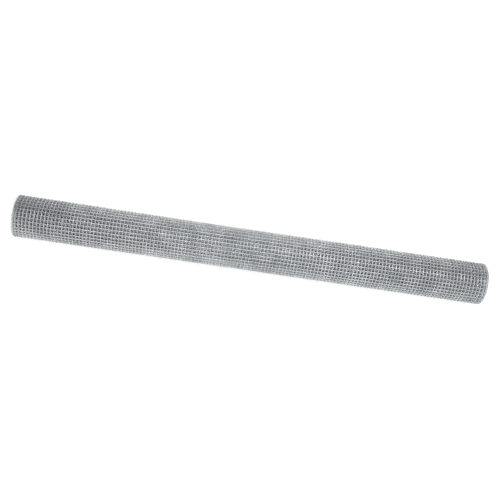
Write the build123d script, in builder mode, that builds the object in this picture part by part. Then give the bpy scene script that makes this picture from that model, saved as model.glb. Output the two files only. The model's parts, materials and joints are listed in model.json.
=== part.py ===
# Roll of galvanized welded wire mesh, lying on its side.
#
# The real thing is one strip of welded mesh, 0.9 m wide and about 3 m long, wound on itself.
# It is modelled as one turned solid with a round bore. The mesh's own cells are too fine for a
# solid, so the wall between the first and the last turn is filled. What shows that it is wound:
# each end has the turns of the edge wire standing as a spiral ridge, with the gap between turns
# cut back by one cell, and outside the last turn ends in a lap, a step as high as one turn.
#
# Units are millimetres. The roll's axis runs along X. The floor is Z = 0, and the origin lies on
# the floor, under the middle of the roll's box. The roll rests as a real one comes to rest: on
# the free edge of its last turn, and on the turn under it.

import os
from math import acos, cos, degrees, radians, sin

from build123d import *

# Driving dimensions
strip_width = 900.0  # width of the mesh, which is the roll's length
outer_diameter = 83.0  # twice the distance from the core's axis to the free edge
turns = 17  # whole turns in the roll
turn_pitch = 1.5  # how much further out each turn lies than the one before it
wire_diameter = 0.8  # with its coat of zinc
wires_through = 2  # a welded mesh is two wires thick, a line wire on a cross wire
cell_width = 6.6  # from one line wire to the next, across the strip

# Sizes that follow from them
outer_radius = outer_diameter / 2
layer = wires_through * wire_diameter
bore_radius = outer_radius - turns * turn_pitch - layer
ridge_depth = cell_width

# The spiral is drawn with half circles about two centres, half a turn's pitch apart
centre_shift = turn_pitch / 4
half_pitch = turn_pitch / 2
last_upper_radius = outer_radius - centre_shift
last_lower_radius = last_upper_radius - half_pitch

# Resting place: the tangent from the free edge to the turn under it lies on the floor
seat_angle = degrees(acos(last_lower_radius / (outer_radius + centre_shift)))
lap_angle = seat_angle - 90
lap_direction = (0, cos(radians(lap_angle)), sin(radians(lap_angle)))
core_height = last_lower_radius + centre_shift * sin(radians(lap_angle))
core = (0, -centre_shift, core_height)

section = Plane(origin=core, x_dir=lap_direction, z_dir=(1, 0, 0))
near_end = section.offset(-strip_width / 2)
far_end = section.offset(strip_width / 2)
profile_plane = Plane(origin=core, x_dir=(1, 0, 0), z_dir=(0, -1, 0))


def half_turn(inward_halves, depth_below_surface):
    """One half circle of the spiral: how many half turns in from the free edge, and how deep
    below the surface of the last turn it runs."""
    upper = inward_halves % 2 == 0
    centre = centre_shift if upper else -centre_shift
    radius = last_upper_radius - inward_halves * half_pitch - depth_below_surface
    return CenterArc((centre, 0), radius, 0 if upper else 180, 180)


def draw_gap_between_turns():
    """The gap that winds from the lap to the first turn, between the ridges of edge wire."""
    outer_wall = [half_turn(n, wire_diameter) for n in range(2 * (turns - 1))]
    inner_wall = [half_turn(n, turn_pitch) for n in range(2 * (turns - 1))]
    Line(outer_wall[0] @ 0, inner_wall[0] @ 0)
    Line(outer_wall[-1] @ 1, inner_wall[-1] @ 1)


with BuildPart() as mesh_roll:
    # Turned blank with its bore
    with BuildSketch(profile_plane):
        with Locations((0, (outer_radius + bore_radius) / 2)):
            Rectangle(strip_width, outer_radius - bore_radius)
    revolve(axis=Axis(core, (1, 0, 0)))

    # The last turn, which winds in from the free edge to the step of the lap
    with BuildSketch(near_end):
        with BuildLine():
            upper_half = half_turn(0, 0)
            lower_half = half_turn(1, 0)
            Line(lower_half @ 1, upper_half @ 0)
        make_face()
    extrude(amount=strip_width, mode=Mode.INTERSECT)

    # The turns that show on both ends
    for end, inward in ((near_end, 1), (far_end, -1)):
        with BuildSketch(end):
            with BuildLine():
                draw_gap_between_turns()
            make_face()
        extrude(amount=inward * ridge_depth, mode=Mode.SUBTRACT)

mesh_roll.part.label = "mesh_roll"

os.makedirs("parts", exist_ok=True)
export_step(mesh_roll.part, "parts/mesh_roll.step")

box = mesh_roll.part.bounding_box()
print("box", box.min, box.max)
print("core height", round(core_height, 3), "bore radius", round(bore_radius, 3))
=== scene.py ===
import json
from math import acos, cos, pi, radians, sin, sqrt

import bpy
from mathutils import Matrix, Vector


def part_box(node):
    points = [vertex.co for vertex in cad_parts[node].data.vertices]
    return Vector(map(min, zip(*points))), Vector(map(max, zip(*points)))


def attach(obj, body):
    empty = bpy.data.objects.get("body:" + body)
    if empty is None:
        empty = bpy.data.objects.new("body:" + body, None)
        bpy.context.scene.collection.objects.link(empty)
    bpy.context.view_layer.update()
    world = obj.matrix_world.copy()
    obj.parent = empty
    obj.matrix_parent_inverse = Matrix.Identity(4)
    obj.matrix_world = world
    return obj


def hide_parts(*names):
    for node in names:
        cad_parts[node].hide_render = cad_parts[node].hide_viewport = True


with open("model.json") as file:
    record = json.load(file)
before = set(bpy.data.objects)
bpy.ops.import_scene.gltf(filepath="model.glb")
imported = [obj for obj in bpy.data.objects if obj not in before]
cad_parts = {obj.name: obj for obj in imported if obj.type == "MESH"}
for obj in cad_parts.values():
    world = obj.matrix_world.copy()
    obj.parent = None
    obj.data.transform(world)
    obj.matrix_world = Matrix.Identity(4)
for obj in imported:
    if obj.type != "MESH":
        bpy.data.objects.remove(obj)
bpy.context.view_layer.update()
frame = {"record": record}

# Winding. The roll is one strip of welded steel mesh, as wide as the roll is long, and each turn
# lies a little further out than the one under it. The strip is modelled flat, as it leaves the
# welder, and is then wound on a path that starts at the free edge and runs inwards.
roll_low, roll_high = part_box("mesh_roll")
bore = next(mount for mount in frame["record"]["mounts"] if mount["name"] == "bore")
core = Vector(bore["pos_m"])
bore_radius = bore["dims"]["r_mm"] / 1000
turns = 17
turn_pitch = 0.0015
wire_diameter = 0.0008
wire_radius = wire_diameter / 2
wires_through = 2
outer_radius = bore_radius + turns * turn_pitch + wires_through * wire_diameter

# Half circles about two centres make the spiral, and its free edge rests on the floor
centre_shift = turn_pitch / 4
half_pitch = turn_pitch / 2
last_upper_radius = outer_radius - centre_shift
last_lower_radius = last_upper_radius - half_pitch
lap_angle = acos(last_lower_radius / (outer_radius + centre_shift)) - pi / 2
lap_direction = Vector((cos(lap_angle), sin(lap_angle), 0))

# Turned this way, the path's own X, Y and Z are the roll's Y, Z and X
bpy.ops.object.select_all(action="DESELECT")
bpy.ops.curve.primitive_bezier_curve_add(location=(0, 0, 0), rotation=(pi / 2, 0, pi / 2))
path = bpy.context.object
path.name = "winding_path"
path.data.dimensions = "3D"
path.data.twist_mode = "Z_UP"
path.data.resolution_u = 24


def arc_radius(quarter):
    """Radius of a quarter arc at the line wires' middle, counted from the free edge."""
    return last_upper_radius - (quarter // 2) * half_pitch - wire_radius


def wound_length(turn_count):
    """Length of strip in the outermost turns, along the line wires."""
    return sum(pi / 2 * arc_radius(quarter) for quarter in range(4 * turn_count))


# Each half circle is two quarter arcs
arc_handle = 4 / 3 * (sqrt(2) - 1)
knots = path.data.splines[0].bezier_points
knots.add(4 * turns + 1 - len(knots))
for quarter, knot in enumerate(knots):
    angle = lap_angle + quarter * pi / 2
    side = 1 if quarter % 4 < 2 else -1
    centre = Vector((core.y, core.z, 0)) + side * centre_shift * lap_direction
    outward = Vector((cos(angle), sin(angle), 0))
    onward = Vector((-sin(angle), cos(angle), 0))
    knot.handle_left_type = knot.handle_right_type = "FREE"
    knot.co = centre + arc_radius(quarter) * outward
    knot.handle_left = knot.co - arc_handle * arc_radius(quarter - 1) * onward
    knot.handle_right = knot.co + arc_handle * arc_radius(quarter) * onward

# No strip is quite even, and no roll quite flush: the wires stray a little to either side, so
# that those of one turn don't hide those of the next, and a little along the strip and inwards
side_stray = 0.0009
onward_stray = 0.0009
inward_stray = 0.0004
strays = []
for way, reach, middle, spread in (
    ("X", 2 * side_stray, 0.5, 0.12),
    ("Y", onward_stray, 0.0, 0.09),
    ("Z", inward_stray, 0.0, 0.06),
):
    clouds = bpy.data.textures.new("stray_" + way, "CLOUDS")
    clouds.noise_scale = spread
    strays.append((clouds, way, reach, middle))


def wind(flat, finish, round_angle):
    """Winds a flat piece of the strip into the roll and gives it its finish."""
    bpy.ops.object.select_all(action="DESELECT")
    flat.select_set(True)
    bpy.context.view_layer.objects.active = flat
    for clouds, way, reach, middle in strays:
        stray = flat.modifiers.new(clouds.name, "DISPLACE")
        stray.texture = clouds
        stray.direction = way
        stray.strength = reach
        stray.mid_level = middle
        bpy.ops.object.modifier_apply(modifier=stray.name)
    winding = flat.modifiers.new("winding", "CURVE")
    winding.object = path
    winding.deform_axis = "POS_X"
    bpy.ops.object.modifier_apply(modifier=winding.name)
    bpy.ops.object.mode_set(mode="EDIT")
    bpy.ops.mesh.select_all(action="SELECT")
    bpy.ops.mesh.normals_make_consistent(inside=False)
    bpy.ops.object.mode_set(mode="OBJECT")
    bpy.ops.object.shade_smooth_by_angle(angle=round_angle)
    flat.data.materials.append(finish)
    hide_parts("mesh_roll")
    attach(flat, "root")


# Line wires. Drawn steel wires that run the whole length of the strip, side by side, and so go
# round and round in the roll, outside the cross wires. They are welded first and galvanized
# after, and the zinc dries in brighter and duller patches with a fine grain.
zinc_coat = bpy.data.node_groups.new("zinc_coat", "ShaderNodeTree")
for socket_name, direction, kind in (
    ("Bright Zinc", "INPUT", "NodeSocketColor"),
    ("Dull Zinc", "INPUT", "NodeSocketColor"),
    ("Bright Roughness", "INPUT", "NodeSocketFloat"),
    ("Dull Roughness", "INPUT", "NodeSocketFloat"),
    ("Patch Scale", "INPUT", "NodeSocketFloat"),
    ("Grain Scale", "INPUT", "NodeSocketFloat"),
    ("Color", "OUTPUT", "NodeSocketColor"),
    ("Roughness", "OUTPUT", "NodeSocketFloat"),
    ("Height", "OUTPUT", "NodeSocketFloat"),
):
    zinc_coat.interface.new_socket(name=socket_name, in_out=direction, socket_type=kind)
nodes = zinc_coat.nodes
links = zinc_coat.links
given = nodes.new("NodeGroupInput")
result = nodes.new("NodeGroupOutput")
surface = nodes.new("ShaderNodeTexCoord")
patches = nodes.new("ShaderNodeTexNoise")
patches.inputs["Detail"].default_value = 3
links.new(surface.outputs["Object"], patches.inputs["Vector"])
links.new(given.outputs["Patch Scale"], patches.inputs["Scale"])
grain = nodes.new("ShaderNodeTexNoise")
grain.inputs["Detail"].default_value = 2
links.new(surface.outputs["Object"], grain.inputs["Vector"])
links.new(given.outputs["Grain Scale"], grain.inputs["Scale"])

# Patches with a little of the grain in them. Only their higher part is dull
grain_share = 0.35
dull_from = 0.5
dull_to = 0.85
grainy_patches = nodes.new("ShaderNodeMath")
grainy_patches.operation = "MULTIPLY_ADD"
grainy_patches.inputs[1].default_value = grain_share
links.new(grain.outputs["Fac"], grainy_patches.inputs[0])
links.new(patches.outputs["Fac"], grainy_patches.inputs[2])
dullness = nodes.new("ShaderNodeMapRange")
dullness.inputs["From Min"].default_value = dull_from
dullness.inputs["From Max"].default_value = dull_to
links.new(grainy_patches.outputs[0], dullness.inputs["Value"])
zinc_color = nodes.new("ShaderNodeMix")
zinc_color.data_type = "RGBA"
links.new(dullness.outputs["Result"], zinc_color.inputs["Factor"])
links.new(given.outputs["Bright Zinc"], zinc_color.inputs["A"])
links.new(given.outputs["Dull Zinc"], zinc_color.inputs["B"])
zinc_roughness = nodes.new("ShaderNodeMapRange")
links.new(dullness.outputs["Result"], zinc_roughness.inputs["Value"])
links.new(given.outputs["Bright Roughness"], zinc_roughness.inputs["To Min"])
links.new(given.outputs["Dull Roughness"], zinc_roughness.inputs["To Max"])
links.new(zinc_color.outputs["Result"], result.inputs["Color"])
links.new(zinc_roughness.outputs["Result"], result.inputs["Roughness"])
links.new(grain.outputs["Fac"], result.inputs["Height"])


def zinc_finish(name, coat_values, grain_depth):
    """Metal under a zinc coat, with the coat's own values for wire or welds."""
    finish = bpy.data.materials.new(name)
    finish.use_nodes = True
    nodes = finish.node_tree.nodes
    links = finish.node_tree.links
    metal = nodes["Principled BSDF"]
    metal.inputs["Metallic"].default_value = 1.0
    coat = nodes.new("ShaderNodeGroup")
    coat.node_tree = zinc_coat
    for socket_name, value in coat_values.items():
        coat.inputs[socket_name].default_value = value
    rough_skin = nodes.new("ShaderNodeBump")
    rough_skin.inputs["Strength"].default_value = 0.3
    rough_skin.inputs["Distance"].default_value = grain_depth
    links.new(coat.outputs["Color"], metal.inputs["Base Color"])
    links.new(coat.outputs["Roughness"], metal.inputs["Roughness"])
    links.new(coat.outputs["Height"], rough_skin.inputs["Height"])
    links.new(rough_skin.outputs["Normal"], metal.inputs["Normal"])
    return finish


wire_zinc = zinc_finish(
    "wire_zinc",
    {
        "Bright Zinc": (0.74, 0.76, 0.77, 1),
        "Dull Zinc": (0.61, 0.63, 0.64, 1),
        "Bright Roughness": 0.28,
        "Dull Roughness": 0.46,
        "Patch Scale": 40,
        "Grain Scale": 1500,
    },
    0.00005,
)

line_wire_count = 137
cross_wire_tip = 0.0007
mesh_width = roll_high.x - roll_low.x - 2 * side_stray
edge_wire_place = mesh_width / 2 - cross_wire_tip
cell_width = 2 * edge_wire_place / (line_wire_count - 1)


def cut_lengths(wire, axis, count):
    """Cuts a straight wire that lies along an axis into equal lengths, in two goes."""
    first_parts = round(sqrt(count))
    for parts in (first_parts, round(count / first_parts)):
        bpy.ops.object.mode_set(mode="EDIT")
        bpy.ops.mesh.select_mode(type="EDGE")
        bpy.ops.mesh.select_all(action="DESELECT")
        bpy.ops.object.mode_set(mode="OBJECT")
        corners = wire.data.vertices
        for edge in wire.data.edges:
            near, far = (corners[index].co[axis] for index in edge.vertices)
            edge.select = abs(far - near) > wire_diameter
        bpy.ops.object.mode_set(mode="EDIT")
        bpy.ops.mesh.subdivide(number_cuts=parts - 1)
        bpy.ops.object.mode_set(mode="OBJECT")


def repeat(piece, count, step):
    """Repeats a piece at equal steps, as one mesh."""
    row = piece.modifiers.new("row", "ARRAY")
    row.count = count
    row.use_relative_offset = False
    row.use_constant_offset = True
    row.constant_offset_displace = step
    bpy.ops.object.modifier_apply(modifier=row.name)


def line_wires(name, start, end, sides, step_length, first_place, count, gap):
    """A flat row of line wires, between two distances from the free edge, in short steps."""
    bpy.ops.object.select_all(action="DESELECT")
    bpy.ops.mesh.primitive_cylinder_add(
        vertices=sides,
        radius=wire_radius,
        depth=end - start,
        location=(first_place, (start + end) / 2, 0),
        rotation=(pi / 2, 0, 0),
    )
    wires = bpy.context.object
    wires.name = wires.data.name = name
    bpy.ops.object.transform_apply()
    cut_lengths(wires, 1, round((end - start) / step_length))
    repeat(wires, count, (gap, 0, 0))
    return wires


# The outer turn is seen from close by, so its wires are rounder than those under it
six_sided = radians(75)
four_sided = radians(100)
for name, first, last, sides, step_length, round_angle in (
    ("line_wires_outer_turn", 0, 1, 6, 0.0036, six_sided),
    ("line_wires_turns_2_to_4", 1, 4, 4, 0.005, four_sided),
    ("line_wires_turns_5_to_9", 4, 9, 4, 0.0056, four_sided),
    ("line_wires_turns_10_to_17", 9, turns, 4, 0.006, four_sided),
):
    wires = line_wires(
        name,
        wound_length(first),
        wound_length(last),
        sides,
        step_length,
        cell_width - edge_wire_place,
        line_wire_count - 2,
        cell_width,
    )
    wind(wires, wire_zinc, round_angle)

# Edge wires. The last line wire on each edge of the strip, with a second one close beside it,
# of the same galvanized steel wire. They keep the ends of the cross wires from springing, and on
# the roll's ends they are what shows: the turns of a spiral.
selvage_place = edge_wire_place - 0.0022
for name, place in (("edge_wires", edge_wire_place), ("selvage_wires", selvage_place)):
    wires = line_wires(name, 0, wound_length(turns), 6, 0.0025, -place, 2, 2 * place)
    wind(wires, wire_zinc, six_sided)

# Cross wires. The same wire, laid across the line wires on the side that turns inwards when the
# strip is wound, and welded to each. They are sheared off just past the edge wires.
cell_length = 0.00747
first_cross_wire = 0.0069
weld_sink = 0.1 * wire_diameter
cross_wire_depth = wire_diameter - weld_sink
outer_turn_count = int((wound_length(1) - first_cross_wire) / cell_length) + 1
cross_wire_count = int((wound_length(turns) - first_cross_wire) / cell_length) + 1
inner_turns_count = cross_wire_count - outer_turn_count
for name, first, count, parts in (
    ("cross_wires_outer_turn", 0, outer_turn_count, line_wire_count - 1),
    ("cross_wires_inner_turns", outer_turn_count, inner_turns_count, 12),
):
    bpy.ops.object.select_all(action="DESELECT")
    bpy.ops.mesh.primitive_cylinder_add(
        vertices=6,
        radius=wire_radius,
        depth=mesh_width,
        location=(0, first_cross_wire + first * cell_length, cross_wire_depth),
        rotation=(0, pi / 2, 0),
    )
    wires = bpy.context.object
    wires.name = wires.data.name = name
    bpy.ops.object.transform_apply()
    cut_lengths(wires, 0, parts)
    repeat(wires, count, (0, cell_length, 0))
    wind(wires, wire_zinc, six_sided)

# Welds. Where two wires cross, current and pressure sink one steel wire a little into the other,
# and the zinc gathers round the joint in a flat bead, a shade duller and rougher than the wire.
weld_zinc = zinc_finish(
    "weld_zinc",
    {
        "Bright Zinc": (0.68, 0.70, 0.71, 1),
        "Dull Zinc": (0.55, 0.57, 0.59, 1),
        "Bright Roughness": 0.34,
        "Dull Roughness": 0.52,
        "Patch Scale": 60,
        "Grain Scale": 2500,
    },
    0.00008,
)
bead_radius = 0.72 * wire_diameter
bead_squash = (0.95, 1.0, 0.6)
for name, place, count, gap, first, rows in (
    ("welds_outer_turn", edge_wire_place, line_wire_count, cell_width, 0, outer_turn_count),
    ("welds_selvage_wires", selvage_place, 2, 2 * selvage_place, 0, cross_wire_count),
    ("welds_edge_wires", edge_wire_place, 2, 2 * edge_wire_place, outer_turn_count, inner_turns_count),
):
    bpy.ops.object.select_all(action="DESELECT")
    bpy.ops.mesh.primitive_ico_sphere_add(
        subdivisions=1,
        radius=bead_radius,
        location=(-place, first_cross_wire + first * cell_length, cross_wire_depth / 2),
    )
    beads = bpy.context.object
    beads.name = beads.data.name = name
    bpy.ops.transform.resize(value=bead_squash)
    bpy.ops.object.transform_apply()
    repeat(beads, count, (gap, 0, 0))
    repeat(beads, rows, (0, cell_length, 0))
    wind(beads, weld_zinc, four_sided)

bpy.data.objects.remove(path)

# Floor. White paper that runs on past the picture. Seen straight or in a gloss it is nearly
# white, and it keeps the roll's shadow.
paper_glow = 0.75
bpy.ops.object.select_all(action="DESELECT")
bpy.ops.mesh.primitive_plane_add(size=40)
floor = bpy.context.object
floor.name = floor.data.name = "floor"
floor_paper = bpy.data.materials.new("floor_paper")
floor_paper.use_nodes = True
paper = floor_paper.node_tree.nodes["Principled BSDF"]
paper.inputs["Base Color"].default_value = (0.8, 0.8, 0.8, 1)
paper.inputs["Roughness"].default_value = 0.9
paper.inputs["Emission Color"].default_value = (1, 1, 1, 1)
floor.data.materials.append(floor_paper)


def brightness_by_ray(tree, unseen, seen):
    """One strength for stray light, another where the camera, a gloss or glass looks."""
    rays = tree.nodes.new("ShaderNodeLightPath")
    brightness = tree.nodes.new("ShaderNodeMapRange")
    brightness.inputs["To Min"].default_value = unseen
    brightness.inputs["To Max"].default_value = seen
    looks = rays.outputs["Is Camera Ray"]
    for ray in ("Is Glossy Ray", "Is Transmission Ray"):
        either = tree.nodes.new("ShaderNodeMath")
        either.operation = "MAXIMUM"
        tree.links.new(looks, either.inputs[0])
        tree.links.new(rays.outputs[ray], either.inputs[1])
        looks = either.outputs[0]
    tree.links.new(looks, brightness.inputs["Value"])
    return brightness.outputs["Result"]


floor_paper.node_tree.links.new(
    brightness_by_ray(floor_paper.node_tree, 0, paper_glow),
    paper.inputs["Emission Strength"],
)

# Studio. White walls round the roll, and one long lamp in front of it and above
stray_light = 0.5
studio = bpy.data.worlds.new("studio")
bpy.context.scene.world = studio
studio.use_nodes = True
walls = studio.node_tree.nodes["Background"]
walls.inputs["Color"].default_value = (1, 1, 1, 1)
studio.node_tree.links.new(
    brightness_by_ray(studio.node_tree, stray_light, 1),
    walls.inputs["Strength"],
)

lamp_place = Vector((0.05, -0.9, 0.95))
lamp_aim = Vector((0.05, 0, core.z))
bpy.ops.object.light_add(type="AREA", location=lamp_place)
lamp = bpy.context.object
lamp.name = "long_lamp"
lamp.data.shape = "RECTANGLE"
lamp.data.size = 1.6
lamp.data.size_y = 0.2
lamp.data.energy = 6
lamp.rotation_euler = (lamp_aim - lamp_place).to_track_quat("-Z", "Y").to_euler()

# Dark cards hang over both ends, out of the camera's sight, because the ends are the darker part
card_size = 0.22
card_black = bpy.data.materials.new("card_black")
card_black.use_nodes = True
card = card_black.node_tree.nodes["Principled BSDF"]
card.inputs["Base Color"].default_value = (0.02, 0.02, 0.02, 1)
for name, card_place in (
    ("card_over_left_end", (-0.5, -0.1, 0.23)),
    ("card_over_right_end", (0.56, -0.1, 0.25)),
):
    bpy.ops.mesh.primitive_plane_add(size=card_size, location=card_place)
    dark_card = bpy.context.object
    dark_card.name = dark_card.data.name = name
    dark_card.visible_camera = False
    dark_card.data.materials.append(card_black)

# Camera. It looks down on the roll from a little left of its middle, and is held askew, so that
# the roll falls away to the right across the picture.
camera_distance = 1.3595
camera_elevation = radians(25)
camera_along = -0.0712
camera_turn = 0.0486
camera_lean = radians(8.40)
lens_length = 51.17
bpy.ops.object.camera_add()
camera = bpy.context.object
camera.data.sensor_width = 36
camera.data.lens = lens_length
camera_place = Vector(
    (
        camera_along,
        core.y - camera_distance * cos(camera_elevation),
        core.z + camera_distance * sin(camera_elevation),
    )
)
camera.matrix_world = (
    Matrix.Translation(camera_place)
    @ Matrix.Rotation(pi / 2 - camera_elevation, 4, "X")
    @ Matrix.Rotation(-camera_turn, 4, "Y")
    @ Matrix.Rotation(camera_lean, 4, "Z")
)
bpy.context.scene.camera = camera
bpy.context.scene.view_settings.view_transform = "Standard"
